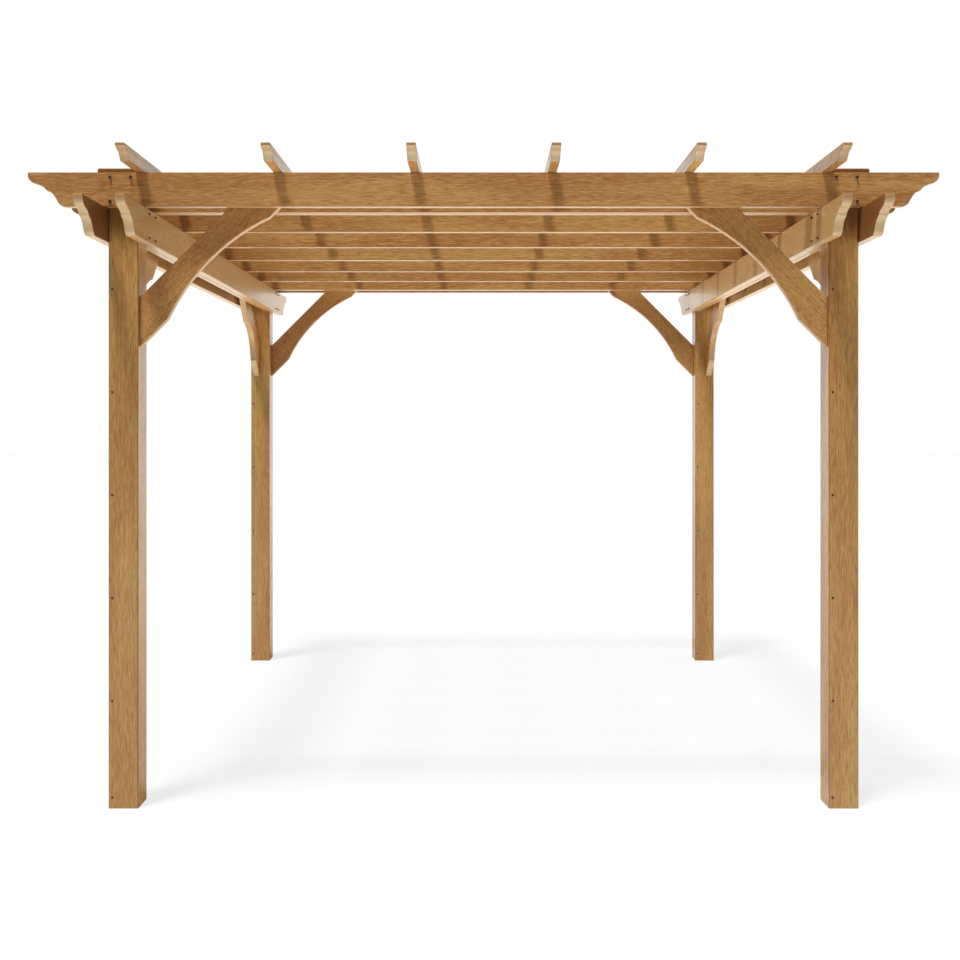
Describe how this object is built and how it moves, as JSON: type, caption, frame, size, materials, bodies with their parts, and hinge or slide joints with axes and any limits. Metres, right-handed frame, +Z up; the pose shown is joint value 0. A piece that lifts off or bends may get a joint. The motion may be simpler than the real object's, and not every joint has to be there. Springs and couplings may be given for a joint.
{
  "type": "timber garden pergola",
  "caption": "Free-standing square timber pergola: posts, paired beams with moulded ends, open rafters and runners, and curved corner braces.",
  "frame": {"origin": "on the ground, at the middle of the plan", "axes": "+X to the right seen from the front, +Y to the back, +Z up"},
  "size_m": [3.616, 3.6, 2.592],
  "materials": {
    "timber": "golden-brown stained softwood, planed, with eased edges"
  },
  "bodies": {
    "root": {"beam_packing_left": "timber", "beam_packing_right": "timber", "cross_brace_back_left": "timber", "cross_brace_back_right": "timber", "cross_brace_front_left": "timber", "cross_brace_front_right": "timber", "header_back_inner": "timber", "header_back_outer": "timber", "header_front_inner": "timber", "header_front_outer": "timber", "header_packing_back": "timber", "header_packing_front": "timber", "post_back_left": "timber", "post_back_right": "timber", "post_cap_back_left": "timber", "post_cap_back_right": "timber", "post_cap_front_left": "timber", "post_cap_front_right": "timber", "post_front_left": "timber", "post_front_right": "timber", "rafter_1": "timber", "rafter_2": "timber", "rafter_3": "timber", "rafter_4": "timber", "rafter_5": "timber", "runner_1": "timber", "runner_2": "timber", "runner_3": "timber", "runner_4": "timber", "runner_5": "timber", "runner_6": "timber", "side_beam_left_inner": "timber", "side_beam_left_outer": "timber", "side_beam_right_inner": "timber", "side_beam_right_outer": "timber", "side_brace_back_left": "timber", "side_brace_back_right": "timber", "side_brace_front_left": "timber", "side_brace_front_right": "timber"}
  },
  "joints": []
}
